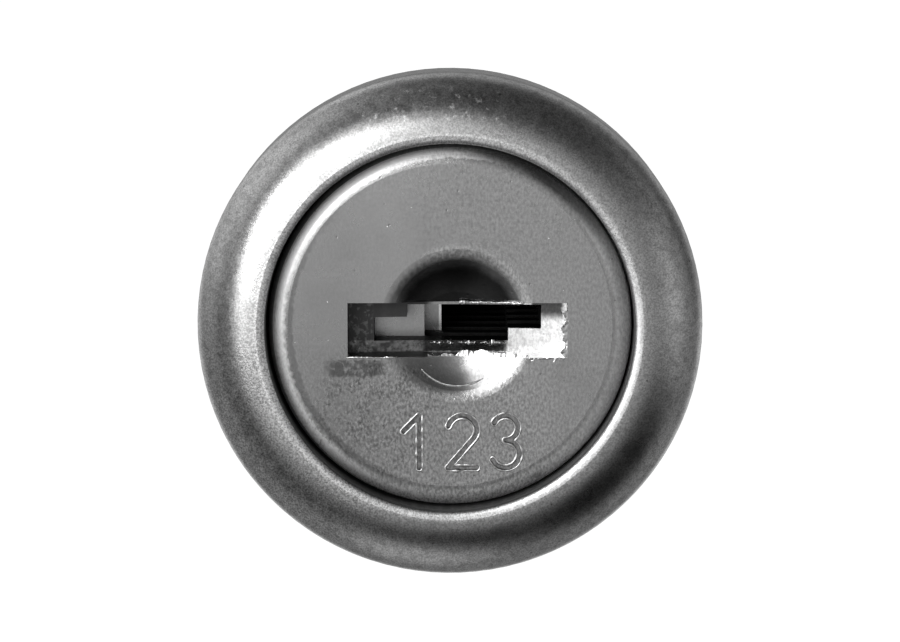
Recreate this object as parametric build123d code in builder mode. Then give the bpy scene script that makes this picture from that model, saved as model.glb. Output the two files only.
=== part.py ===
from build123d import *
import math
import os

# A wafer lock for a tool case: a domed bezel and threaded barrel, a key-turned plug with seven
# wafers on springs, and a cranked cam on the plug's tail.
# Millimetres. Y = 0 is the bezel's back face, where the lock meets the case wall.
# The face looks along -Y, +Z is up and the lock's axis is the Y axis.

# Case wall and clearances
case_wall = 3.0                 # thickness the lock is clamped to
running_clearance = 0.05        # radial, between the plug and its bore
sliding_clearance = 0.04        # each side of a wafer in its slot
axial_play = 0.1                # of the plug in the housing
thread_gap = 0.08               # radial, between mating threads
edge_break = 0.2                # small chamfer on turned edges
edge_search = 0.01              # how near its place an edge is looked for

# Bezel
bezel_radius = 11.0
bezel_rim_height = 3.2          # straight outer rim, below the dome
bezel_height = 5.0              # crest of the dome above the case wall
lip_width = 0.36                # worn rounding from the crest into the mouth
lip_depth = 0.12
mouth_gap = 0.1                 # ring gap around the plug's head

# Barrel
barrel_radius = 8.0
barrel_length = 20.0
barrel_flat = 7.0               # axis to the flat that stops the barrel turning in its hole
barrel_pitch = 1.0
barrel_thread_depth = 0.6
release_hole_radius = 0.75
stop_height = 1.0               # of the stop lug and of the washer beside it

# Plug
face_height = 3.8               # plug's face above the case wall
head_radius = 7.9
head_thickness = 2.4
head_edge_width = 0.85          # soft rounding of the face's edge
head_edge_depth = 0.45
plug_radius = 5.75
seat_web = 1.1                  # housing metal between the head's seat and the wafer grooves
tail_side = 7.0
tail_length = 2.8

# Key opening, all set off to one side of the axis
key_offset = 0.33
keyway_width = 7.34
keyway_height = 1.6
keyway_drop = 0.1
keyway_waist = 4.45             # width over which the keyway has its full height
keyway_arm = 1.05               # thickness of the keyway's two arms
keyway_rest = 0.6               # room for the key's tip past the last wafer
pocket_width = 9.56
pocket_height = 2.4
pocket_drop = 0.2
pocket_depth = 2.1
pocket_end_depth = 1.65
dish_radius = 3.1
dish_depth = 0.66
dish_rim = 1.3                  # rounding of the dish's rim
inner_dish_radius = 2.05        # second, smaller pass of the round cutter
inner_dish_ball = 6.0
inner_dish_drop = 0.63

# Engraved number, drawn in single strokes
digit_height = 2.3
digit_width = 1.25
digit_spacing = 1.88
digit_stroke = 0.26
digit_depth = 0.14
number_offset = 0.54            # of the number's middle from the axis
number_drop = 5.1

# Wafers, springs and retainer
cut_depths = [2.2, 2.95, 1.9, 2.5, 2.1, 2.7, 1.9]   # key cuts, front wafer first
wafer_thickness = 1.0
wafer_pitch = 2.0
wafer_height = 7.6
wafer_end_gap = 0.05            # wafer ends inside the plug's surface, key in
wafer_throw = 1.1               # outwards, under its spring
wafer_lift = 0.6                # inwards, past its keyed place
window_margin = 0.3             # above and below the key
ear_x = 1.0                     # face of the ear that the spring pushes
spring_seat_x = -3.5
spring_radius = 0.75
spring_wire = 0.1               # wire radius
spring_turns = 6
spring_gap = 0.1                # around the spring in its pocket
groove_gap = 0.18               # above and below the wafers in the housing's grooves
end_gap = 0.03                  # at the spring's two ends
retainer_web = 1.4              # plug metal in front of the retainer
retainer_thickness = 1.0
retainer_width = 4.8
retainer_bite = 0.6             # past the bore, into its groove
retainer_top = 1.2              # below the axis
retainer_spring_top = 2.6       # above the axis

# Tail pieces and fixing
turn_range = 180.0
stop_tab_angle = 30.0
stop_clearance_angle = 1.0
stop_washer_radius = 6.3
stop_side_gap = 0.2
square_gap = 0.05               # around the square tail
cam_thickness = 2.0
cam_hub_radius = 6.2
cam_width = 9.0
cam_length = 15.0
cam_crank = 1.8
cam_crank_start = 8.6
cam_corner = 2.0
cam_bend = 0.6                  # rounding of the crank's bends
lock_washer_radius = 5.4
lock_washer_thickness = 0.8
lock_washer_teeth = 12
screw_radius = 2.0
screw_pitch = 0.7
screw_thread_depth = 0.38
screw_tip_web = 0.65            # plug metal between the retainer's spring and the tapped hole
screw_neck = 0.4                # plain part under the head
screw_head_radius = 4.1
screw_head_height = 2.6
screw_head_round = 1.2
recess_length = 4.4
recess_width = 0.9
recess_depth = 1.4
nut_wall = 1.0                  # least metal between the thread and a flat
nut_sides = 6
nut_thickness = 3.0
nut_washer_rim = 2.2            # of the washer's ring beyond the barrel
nut_washer_thickness = 0.8
nut_washer_teeth = 16
tooth_slot = 0.8
tooth_depth = 1.0

# Places worked out from the sizes above
bore_radius = plug_radius + running_clearance
mouth_radius = head_radius + mouth_gap
crest_radius = mouth_radius + lip_width
head_seat = head_thickness - face_height
groove_front = head_seat + seat_web
first_wafer = groove_front + axial_play
wafer_fronts = [first_wafer + n * wafer_pitch for n in range(len(cut_depths))]
wafer_radius = plug_radius - wafer_end_gap
groove_radius = wafer_radius + wafer_throw + axial_play
groove_half_height = wafer_height / 2 + groove_gap
spring_z = wafer_height / 2 - spring_radius - spring_gap
notch_z = spring_z - spring_radius - spring_gap / 2
spring_mean = spring_radius - spring_wire
keyway_left = key_offset - keyway_width / 2
keyway_right = key_offset + keyway_width / 2
keyway_top = keyway_height / 2 - keyway_drop
keyway_bottom = -keyway_height / 2 - keyway_drop
window_right = keyway_right + wafer_lift + 2 * sliding_clearance
window_height = keyway_height + 2 * window_margin
keyway_end = wafer_fronts[-1] + wafer_thickness + keyway_rest
retainer_front = keyway_end + retainer_web
retainer_middle = retainer_front + retainer_thickness / 2
retainer_radius = bore_radius + retainer_bite
retainer_travel = retainer_radius - wafer_radius
plug_end = barrel_length + axial_play
cam_front = plug_end + stop_height
cam_back = cam_front + cam_thickness
screw_seat = cam_back + lock_washer_thickness
thread_start = case_wall
barrel_turns = int((barrel_length - thread_start - edge_break) / barrel_pitch)
tap_start = retainer_middle + spring_radius + spring_gap + screw_tip_web
screw_tip = tap_start + screw_pitch
screw_turns = int((screw_seat - screw_tip - screw_neck) / screw_pitch)
nut_radius = barrel_radius + nut_wall
nut_washer_radius = barrel_radius + nut_washer_rim
nut_washer_front = case_wall
nut_front = nut_washer_front + nut_washer_thickness

parts_folder = "parts"
os.makedirs(parts_folder, exist_ok=True)


def across(y):
    """The plane across the axis at depth y, with X to the right and Z up."""
    return Plane.XZ.offset(-y)


def save(piece, name):
    """Names a finished piece and writes it as its own node."""
    piece.part.label = name
    export_step(piece.part, f"{parts_folder}/{name}.step")


def thread_points(crest, depth, pitch, start, turns, gap=0.0):
    """Half-section of a thread drawn as rings: each turn falls to a flat root, then rises to a
    flat crest, at sixteenths of the pitch."""
    root = crest - depth
    points = [(crest + gap, start)]
    for n in range(turns):
        y = start + n * pitch
        points += [
            (root + gap, y + 5 / 16 * pitch),
            (root + gap, y + 9 / 16 * pitch),
            (crest + gap, y + 14 / 16 * pitch),
            (crest + gap, y + pitch),
        ]
    return points


def stroke(start, end):
    """One straight stroke of the engraving tool."""
    SlotCenterPoint((Vector(start) + Vector(end)) / 2, end, digit_stroke)


def bow(centre, radius, start, sweep_angle):
    """One round stroke of the engraving tool; gives the point where it ends."""
    with BuildLine() as path:
        CenterArc(centre, radius, start, sweep_angle)
    SlotArc(path.edge(), digit_stroke)
    return path.edge() @ 1


def coil_spring(start, end):
    """A compression spring of round wire between two points on its axis."""
    axis = Vector(end) - Vector(start)
    with BuildPart() as spring:
        with BuildLine():
            wire = Helix(
                pitch=axis.length / spring_turns,
                height=axis.length,
                radius=spring_mean,
                center=start,
                direction=axis,
            )
        with BuildSketch(Plane(origin=wire @ 0, z_dir=wire % 0)):
            Circle(spring_wire)
        sweep(path=wire, is_frenet=True)
    return spring


# Housing: bezel and barrel in one casting
with BuildPart() as housing:
    with BuildSketch(Plane.XY):
        with BuildLine():
            thread = thread_points(
                barrel_radius, barrel_thread_depth, barrel_pitch, thread_start, barrel_turns
            )
            Polyline(
                (mouth_radius, lip_depth - bezel_height),
                (mouth_radius, head_seat),
                (bore_radius, head_seat),
                (bore_radius, barrel_length),
                (barrel_radius - barrel_thread_depth, barrel_length),
                *reversed(thread),
                (barrel_radius, 0),
                (bezel_radius - edge_break, 0),
                (bezel_radius, -edge_break),
                (bezel_radius, -bezel_rim_height),
            )
            EllipticalCenterArc(
                (crest_radius, -bezel_rim_height),
                bezel_radius - crest_radius,
                bezel_height - bezel_rim_height,
                start_angle=-90,
                arc_size=90,
            )
            EllipticalCenterArc(
                (crest_radius, lip_depth - bezel_height),
                lip_width,
                lip_depth,
                start_angle=180,
                arc_size=90,
            )
        make_face()
    revolve(axis=Axis.Y)

    # stop lug on the rear face, opposite the arc that the stop washer's tab sweeps
    with BuildSketch(across(barrel_length)):
        Circle(barrel_radius - barrel_thread_depth)
        Circle(stop_washer_radius + stop_side_gap, mode=Mode.SUBTRACT)
        lug_half_angle = (360 - turn_range - stop_tab_angle) / 2 - stop_clearance_angle
        lug_reach = 2 * barrel_radius
        with BuildLine():
            lug_side = lug_reach * math.sin(math.radians(lug_half_angle))
            lug_rise = lug_reach * math.cos(math.radians(lug_half_angle))
            Polyline(
                (0, 0),
                (lug_side, lug_rise),
                (lug_side, lug_reach),
                (-lug_side, lug_reach),
                (-lug_side, lug_rise),
                close=True,
            )
        make_face(mode=Mode.INTERSECT)
    extrude(amount=-stop_height)

    # flat along the barrel
    with BuildSketch(across(0)):
        with Locations((0, -barrel_flat)):
            Rectangle(
                2 * barrel_radius, barrel_radius, align=(Align.CENTER, Align.MAX)
            )
    extrude(amount=-barrel_length, mode=Mode.SUBTRACT)

    # two broad grooves that the wafers spring out into, open at the rear
    with BuildSketch(across(groove_front)):
        Circle(groove_radius)
        Rectangle(2 * groove_radius, 2 * groove_half_height, mode=Mode.INTERSECT)
    extrude(amount=groove_front - barrel_length - stop_height, mode=Mode.SUBTRACT)

    # ring groove that the retainer turns in, and the hole for pushing the retainer back
    with BuildSketch(across(retainer_front - axial_play)):
        Circle(retainer_radius + running_clearance)
    extrude(amount=-retainer_thickness - 2 * axial_play, mode=Mode.SUBTRACT)
    with Locations(Plane(origin=(0, retainer_middle, -barrel_flat), z_dir=(0, 0, -1))):
        Hole(radius=release_hole_radius, depth=barrel_flat - bore_radius)
save(housing, "housing")

# Plug: head, body and square tail
with BuildPart() as plug:
    with BuildSketch(Plane.XY):
        face_radius = head_radius - head_edge_width
        with BuildLine():
            Polyline(
                (head_radius, head_edge_depth - face_height),
                (head_radius, head_seat),
                (0, head_seat),
                (0, -face_height),
                (face_radius, -face_height),
            )
            EllipticalCenterArc(
                (face_radius, head_edge_depth - face_height),
                head_edge_width,
                head_edge_depth,
                start_angle=-90,
                arc_size=90,
            )
        make_face()
    revolve(axis=Axis.Y)
    with BuildSketch(across(head_seat)):
        Circle(plug_radius)
    extrude(amount=head_seat - plug_end)
    with BuildSketch(across(plug_end)):
        Rectangle(tail_side, tail_side)
    extrude(amount=-tail_length)
    chamfer(plug.faces().sort_by(Axis.Y)[-1].edges(), edge_break)

    # round dish in the face that leads the key to its slot, cut in two passes of a ball cutter
    dish_ball = (dish_radius**2 + dish_depth**2) / (2 * dish_depth)
    dish_centre = Vector(key_offset, dish_depth - face_height - dish_ball, 0)
    with Locations(dish_centre):
        Sphere(dish_ball, mode=Mode.SUBTRACT)
    rim = plug.edges().filter_by(GeomType.CIRCLE).filter_by_position(
        Axis.Y, -face_height - edge_search, -face_height + edge_search
    )
    fillet(rim.sort_by(SortBy.RADIUS)[0], dish_rim)
    inner_tilt = math.asin(inner_dish_drop / dish_ball)
    centre_gap = math.sqrt(dish_ball**2 - inner_dish_radius**2) - math.sqrt(
        inner_dish_ball**2 - inner_dish_radius**2
    )
    inner_centre = dish_centre + Vector(
        0, centre_gap * math.cos(inner_tilt), -centre_gap * math.sin(inner_tilt)
    )
    with Locations(inner_centre):
        Sphere(inner_dish_ball, mode=Mode.SUBTRACT)

    # pocket with the hollow floor that a disc cutter leaves, then the stepped keyway behind it
    with BuildSketch(Plane.XY.offset(-pocket_drop)):
        pocket_left = key_offset - pocket_width / 2
        pocket_right = key_offset + pocket_width / 2
        with BuildLine():
            Polyline(
                (pocket_left, pocket_end_depth - face_height),
                (pocket_left, -face_height),
                (pocket_right, -face_height),
                (pocket_right, pocket_end_depth - face_height),
            )
            ThreePointArc(
                (pocket_right, pocket_end_depth - face_height),
                (key_offset, pocket_depth - face_height),
                (pocket_left, pocket_end_depth - face_height),
            )
        make_face()
    extrude(amount=pocket_height / 2, both=True, mode=Mode.SUBTRACT)
    with BuildSketch(across(-face_height)):
        waist_left = key_offset - keyway_waist / 2
        waist_right = key_offset + keyway_waist / 2
        with BuildLine():
            Polyline(
                (keyway_left, keyway_bottom),
                (waist_right, keyway_bottom),
                (waist_right, keyway_top - keyway_arm),
                (keyway_right, keyway_top - keyway_arm),
                (keyway_right, keyway_top),
                (waist_left, keyway_top),
                (waist_left, keyway_bottom + keyway_arm),
                (keyway_left, keyway_bottom + keyway_arm),
                close=True,
            )
        make_face()
    extrude(amount=-face_height - keyway_end, mode=Mode.SUBTRACT)

    # engraved number
    top = digit_height / 2 - number_drop
    bottom = -digit_height / 2 - number_drop
    left = number_offset - digit_spacing
    right = number_offset + digit_spacing
    flag = 0.3 * digit_height
    bowl = digit_width / 2
    upper_bowl = 0.235 * digit_height
    lower_bowl = 0.265 * digit_height
    with BuildSketch(across(-face_height)):
        stroke((left, bottom), (left, top))
        stroke((left - flag, top - flag), (left, top))
        hook_end = bow((number_offset, top - bowl), bowl, 165, -200)
        stroke(hook_end, (number_offset - bowl, bottom))
        stroke((number_offset - bowl, bottom), (number_offset + bowl, bottom))
        bow((right, top - upper_bowl), upper_bowl, 155, -245)
        bow((right, bottom + lower_bowl), lower_bowl, 90, -245)
    extrude(amount=-digit_depth, mode=Mode.SUBTRACT)

    # slots and spring pockets for the wafers
    for front in wafer_fronts:
        with BuildSketch(across(front - sliding_clearance)):
            slot_reach = 2 * plug_radius
            slot_bottom = -wafer_height / 2 - sliding_clearance
            with Locations((0, slot_bottom)):
                Rectangle(
                    slot_reach,
                    notch_z - slot_bottom,
                    align=(Align.CENTER, Align.MIN),
                )
            with Locations((spring_seat_x, slot_bottom)):
                Rectangle(slot_reach, -2 * slot_bottom, align=(Align.MIN, Align.MIN))
        extrude(amount=-wafer_thickness - 2 * sliding_clearance, mode=Mode.SUBTRACT)
        with BuildSketch(Plane.YZ.offset(spring_seat_x)):
            with Locations((front + wafer_thickness / 2, spring_z)):
                Circle(spring_radius + spring_gap)
        extrude(amount=ear_x + wafer_throw - spring_seat_x, mode=Mode.SUBTRACT)

    # slot and spring pocket for the retainer
    with BuildSketch(across(retainer_front - sliding_clearance)):
        with Locations((0, retainer_travel + sliding_clearance - retainer_top)):
            Rectangle(
                retainer_width + 2 * sliding_clearance,
                2 * plug_radius,
                align=(Align.CENTER, Align.MAX),
            )
    extrude(amount=-retainer_thickness - 2 * sliding_clearance, mode=Mode.SUBTRACT)
    with BuildSketch(Plane.XY.offset(-retainer_top)):
        with Locations((0, retainer_middle)):
            Circle(spring_radius + spring_gap)
    extrude(amount=retainer_top + retainer_spring_top, mode=Mode.SUBTRACT)

    # tapped hole in the tail
    with BuildSketch(Plane.XY):
        with BuildLine():
            tapped = thread_points(
                screw_radius,
                screw_thread_depth,
                screw_pitch,
                tap_start,
                screw_turns + 1,
                thread_gap,
            )
            Polyline((0, tapped[0][1]), *tapped, (0, tapped[-1][1]), close=True)
        make_face()
    revolve(axis=Axis.Y, mode=Mode.SUBTRACT)
save(plug, "plug")

# Wafers and their springs, front to rear
for number, (front, cut_depth) in enumerate(zip(wafer_fronts, cut_depths), start=1):
    with BuildPart() as wafer:
        with BuildSketch(across(front)):
            Circle(wafer_radius)
            Rectangle(2 * wafer_radius, wafer_height, mode=Mode.INTERSECT)
            with Locations((ear_x, notch_z - sliding_clearance)):
                Rectangle(
                    2 * wafer_radius,
                    wafer_height,
                    align=(Align.MAX, Align.MIN),
                    mode=Mode.SUBTRACT,
                )
            window_left = keyway_left + cut_depth
            with Locations((window_left, -keyway_drop)):
                Rectangle(
                    window_right - window_left,
                    window_height,
                    align=(Align.MIN, Align.CENTER),
                    mode=Mode.SUBTRACT,
                )
        extrude(amount=-wafer_thickness)
    save(wafer, f"wafer_{number}")

    wafer_middle = front + wafer_thickness / 2
    wafer_spring = coil_spring(
        (spring_seat_x + spring_wire + end_gap, wafer_middle, spring_z),
        (ear_x - spring_wire - end_gap, wafer_middle, spring_z),
    )
    save(wafer_spring, f"wafer_spring_{number}")

# Retainer: a sprung blade that holds the plug in the housing
with BuildPart() as retainer:
    with BuildSketch(across(retainer_front)):
        Circle(retainer_radius)
        with Locations((0, -retainer_top)):
            Rectangle(
                retainer_width,
                retainer_radius,
                align=(Align.CENTER, Align.MAX),
                mode=Mode.INTERSECT,
            )
    extrude(amount=-retainer_thickness)
save(retainer, "retainer")

retainer_spring = coil_spring(
    (0, retainer_middle, spring_wire + end_gap - retainer_top),
    (0, retainer_middle, retainer_spring_top - spring_wire - end_gap),
)
save(retainer_spring, "retainer_spring")

# Stop washer: its tab meets the housing's lug at each end of the turn
with BuildPart() as stop_washer:
    with BuildSketch(across(plug_end)):
        tab_radius = barrel_radius - barrel_thread_depth - axial_play
        tab_half = math.radians(stop_tab_angle / 2)
        with BuildLine():
            Polyline(
                (0, 0),
                (2 * tab_radius, -2 * tab_radius * math.tan(tab_half)),
                (2 * tab_radius, 2 * tab_radius * math.tan(tab_half)),
                close=True,
            )
        make_face()
        Circle(tab_radius, mode=Mode.INTERSECT)
        Circle(stop_washer_radius)
        Rectangle(
            tail_side + 2 * square_gap, tail_side + 2 * square_gap, mode=Mode.SUBTRACT
        )
    extrude(amount=-stop_height)
save(stop_washer, "stop_washer")

# Cam: a plate on the square tail, cranked towards the case wall, pointing down when locked
with BuildPart() as cam:
    with BuildSketch(Plane.YZ):
        crank_end = cam_crank_start + cam_crank
        with BuildLine():
            Polyline(
                (cam_front, cam_hub_radius),
                (cam_back, cam_hub_radius),
                (cam_back, -cam_crank_start - cam_thickness / 2),
                (cam_back - cam_crank, -crank_end - cam_thickness / 2),
                (cam_back - cam_crank, -cam_length),
                (cam_front - cam_crank, -cam_length),
                (cam_front - cam_crank, -crank_end),
                (cam_front, -cam_crank_start),
                close=True,
            )
        make_face()
    extrude(amount=cam_hub_radius, both=True)
    with BuildSketch(across(cam_back)):
        Circle(cam_hub_radius)
        with Locations((0, -cam_length / 2)):
            Rectangle(cam_width, cam_length)
        Rectangle(
            tail_side + 2 * square_gap, tail_side + 2 * square_gap, mode=Mode.SUBTRACT
        )
    extrude(amount=cam_back - cam_front + cam_crank, mode=Mode.INTERSECT)
    tip_corners = (
        cam.edges()
        .filter_by(Axis.Y)
        .filter_by_position(Axis.Z, -cam_length - edge_search, -cam_length + edge_search)
    )
    fillet(tip_corners, cam_corner)
    bends = (
        cam.edges()
        .filter_by(Axis.X)
        .filter_by_position(Axis.Z, -cam_length + edge_search, -cam_hub_radius)
    )
    fillet(bends, cam_bend)
save(cam, "cam")

# Toothed washer under the cam screw
with BuildPart() as lock_washer:
    with BuildSketch(across(cam_back)):
        Circle(lock_washer_radius)
        Circle(screw_radius + thread_gap, mode=Mode.SUBTRACT)
        with PolarLocations(lock_washer_radius, lock_washer_teeth):
            Rectangle(2 * tooth_depth, tooth_slot, mode=Mode.SUBTRACT)
    extrude(amount=-lock_washer_thickness)
save(lock_washer, "lock_washer")

# Pan-head cam screw with a cross recess
with BuildPart() as cam_screw:
    with BuildSketch(across(screw_seat)):
        Circle(screw_head_radius)
    extrude(amount=-screw_head_height)
    fillet(cam_screw.faces().sort_by(Axis.Y)[-1].edges(), screw_head_round)
    with BuildSketch(across(screw_seat + screw_head_height)):
        Rectangle(recess_length, recess_width)
        Rectangle(recess_width, recess_length)
    extrude(amount=recess_depth, mode=Mode.SUBTRACT)
    with BuildSketch(Plane.XY):
        with BuildLine():
            shank = thread_points(
                screw_radius, screw_thread_depth, screw_pitch, screw_tip, screw_turns
            )
            Polyline((0, screw_tip), *shank, (screw_radius, screw_seat), (0, screw_seat), close=True)
        make_face()
    revolve(axis=Axis.Y)
save(cam_screw, "cam_screw")

# Toothed washer and hexagon nut that clamp the case wall
with BuildPart() as nut_washer:
    with BuildSketch(across(nut_washer_front)):
        Circle(nut_washer_radius)
        Circle(barrel_radius + thread_gap, mode=Mode.SUBTRACT)
        with PolarLocations(nut_washer_radius, nut_washer_teeth):
            Rectangle(2 * tooth_depth, tooth_slot, mode=Mode.SUBTRACT)
    extrude(amount=-nut_washer_thickness)
save(nut_washer, "nut_washer")

with BuildPart() as mounting_nut:
    with BuildSketch(across(nut_front)):
        RegularPolygon(
            nut_radius, side_count=nut_sides, major_radius=False, rotation=180 / nut_sides
        )
    extrude(amount=-nut_thickness)
    # corners turned off at both faces
    corner_radius = nut_radius / math.cos(math.pi / nut_sides)
    corner_turn = corner_radius - nut_radius
    with BuildSketch(Plane.XY):
        with BuildLine():
            Polyline(
                (0, nut_front),
                (nut_radius, nut_front),
                (corner_radius, nut_front + corner_turn / 2),
                (corner_radius, nut_front + nut_thickness - corner_turn / 2),
                (nut_radius, nut_front + nut_thickness),
                (0, nut_front + nut_thickness),
                close=True,
            )
        make_face()
    revolve(axis=Axis.Y, mode=Mode.INTERSECT)
    with BuildSketch(Plane.XY):
        with BuildLine():
            inside = thread_points(
                barrel_radius,
                barrel_thread_depth,
                barrel_pitch,
                thread_start,
                barrel_turns,
                thread_gap,
            )
            Polyline((0, thread_start), *inside, (0, inside[-1][1]), close=True)
        make_face()
    revolve(axis=Axis.Y, mode=Mode.SUBTRACT)
save(mounting_nut, "mounting_nut")
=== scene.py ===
import math

import bpy
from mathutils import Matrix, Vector, noise


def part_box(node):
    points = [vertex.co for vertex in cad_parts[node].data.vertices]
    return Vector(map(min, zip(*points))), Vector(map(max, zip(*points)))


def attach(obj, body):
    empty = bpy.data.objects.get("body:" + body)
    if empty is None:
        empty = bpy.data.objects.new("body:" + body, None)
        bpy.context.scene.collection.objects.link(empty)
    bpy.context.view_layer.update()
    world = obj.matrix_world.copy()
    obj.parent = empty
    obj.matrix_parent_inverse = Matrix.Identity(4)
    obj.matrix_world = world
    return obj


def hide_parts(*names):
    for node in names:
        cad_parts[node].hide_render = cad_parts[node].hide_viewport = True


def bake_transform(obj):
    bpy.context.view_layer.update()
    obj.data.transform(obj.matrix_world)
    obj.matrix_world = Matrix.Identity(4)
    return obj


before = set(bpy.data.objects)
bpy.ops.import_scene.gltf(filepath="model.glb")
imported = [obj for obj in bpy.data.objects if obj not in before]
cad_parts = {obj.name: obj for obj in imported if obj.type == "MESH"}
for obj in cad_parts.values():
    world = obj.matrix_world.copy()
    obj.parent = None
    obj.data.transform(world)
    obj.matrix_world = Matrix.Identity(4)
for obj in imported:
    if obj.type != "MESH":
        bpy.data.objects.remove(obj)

bpy.context.view_layer.update()
mm = 0.001
noise.seed_set(1)       # the crumbs along the burrs come out the same at each run
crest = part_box("housing")[0].y / mm      # depths of the bezel's crest and of the plug's face
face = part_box("plug")[0].y / mm
keyOffset = 0.33        # dish and keyway lie this far right of the lock's axis
waferCount = 7
print("frame loaded:", len(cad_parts), "nodes")


# small helpers

def addNode(tree, kind, inputs, **options):
    made = tree.nodes.new("ShaderNode" + kind)
    for key, value in options.items():
        setattr(made, key, value)
    for key, value in inputs.items():
        if isinstance(value, bpy.types.NodeSocket):
            tree.links.new(value, made.inputs[key])
        else:
            made.inputs[key].default_value = value
    return made


def combine(tree, operation, first, second):
    return addNode(tree, "Math", {0: first, 1: second}, operation=operation).outputs["Value"]


def ease(tree, value, low, high, start=0, end=1):
    # smooth change from start, where the value is low, to end, where it is high
    return addNode(tree, "MapRange", {
        "Value": value, "From Min": low, "From Max": high, "To Min": start, "To Max": end},
        interpolation_type="SMOOTHSTEP").outputs["Result"]


def mixTone(tree, share, first, second, way="MIX"):
    return addNode(tree, "MixRGB", {"Fac": share, "Color1": first, "Color2": second},
                   blend_type=way).outputs["Color"]


def noiseTexture(tree, place, size, detail, roughness=0.5, distortion=0):
    return addNode(tree, "TexNoise", {
        "Vector": place, "Scale": 1 / size, "Detail": detail, "Roughness": roughness,
        "Distortion": distortion}).outputs


def dotMask(tree, place, spacing, size, core):
    # 1 in the core of scattered dots, 0 between them
    dots = addNode(tree, "TexVoronoi", {"Vector": place, "Scale": 1 / spacing})
    return ease(tree, dots.outputs["Distance"], size, size * core)


def bump(tree, height, depth, normal=None, strength=1):
    inputs = {"Strength": strength, "Distance": depth * mm, "Height": height}
    if normal:
        inputs["Normal"] = normal
    return addNode(tree, "Bump", inputs).outputs["Normal"]


def grey(level):
    return (level, level, level, 1)


def direction(azimuth, elevation):
    # azimuth runs to the right from the lock's front, both in degrees
    a = math.radians(azimuth)
    e = math.radians(elevation)
    return Vector((math.sin(a) * math.cos(e), -math.cos(a) * math.cos(e), math.sin(e)))


def deselectAll():
    if bpy.context.object and bpy.context.object.mode != "OBJECT":
        bpy.ops.object.mode_set(mode="OBJECT")
    bpy.ops.object.select_all(action="DESELECT")


# finishes; places and sizes in them are in mm

# how the noises and dots of every finish are drawn; the shift moves specks off the pits' pattern
texture = {
    "clouds": {"detail": 6, "roughness": 0.62, "distortion": 0.4},
    "grain": {"detail": 3, "roughness": 0.6},
    "spots": {"detail": 5, "roughness": 0.6},
    "wander": {"detail": 4},
    "dents": {"detail": 2},
    "dullRange": (0.42, 0.72), "roughRange": (0.3, 0.75), "grainRange": (0.3, 0.7),
    "pitCore": 0.5, "pitTone": 0.3, "speckCore": 0.4, "speckShift": (7.3, 2.9, 5.1)}


def zoneMask(tree, place, zone):
    # 1 inside a zone, given by radius about an axis, ring about the lock's axis, depth, and place
    # across and up the face; ragged makes its edge wander, patchy leaves only spots of it
    if "ragged" in zone:
        amount, size = zone["ragged"]
        wander = noiseTexture(tree, place, size, **texture["wander"])["Color"]
        shift = addNode(tree, "VectorMath", {0: wander, 1: (0.5, 0.5, 0.5)},
                        operation="SUBTRACT").outputs["Vector"]
        shift = addNode(tree, "VectorMath", {0: shift, "Scale": amount}, operation="SCALE")
        place = addNode(tree, "VectorMath", {0: place, 1: shift.outputs["Vector"]},
                        operation="ADD").outputs["Vector"]
    parts = addNode(tree, "SeparateXYZ", {"Vector": place}).outputs

    def distanceFrom(x, z):
        flat = addNode(tree, "CombineXYZ", {"X": combine(tree, "SUBTRACT", parts["X"], x),
                                            "Z": combine(tree, "SUBTRACT", parts["Z"], z)})
        return addNode(tree, "VectorMath", {0: flat.outputs["Vector"]},
                       operation="LENGTH").outputs["Value"]

    values = {"radius": distanceFrom(*zone.get("about", (0, 0))), "ring": distanceFrom(0, 0),
              "depth": parts["Y"], "across": parts["X"], "up": parts["Z"]}
    mask = None
    for key, value in values.items():
        if key in zone:
            low, high, soft = zone[key]
            inside = combine(tree, "MULTIPLY", ease(tree, value, low - soft, low + soft),
                             ease(tree, value, high - soft, high + soft, 1, 0))
            mask = combine(tree, "MULTIPLY", mask, inside) if mask else inside
    if "patchy" in zone:
        size, low, high = zone["patchy"]
        spots = noiseTexture(tree, place, size, **texture["spots"])["Fac"]
        mask = combine(tree, "MULTIPLY", mask, ease(tree, spots, low, high))
    return mask


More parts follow.
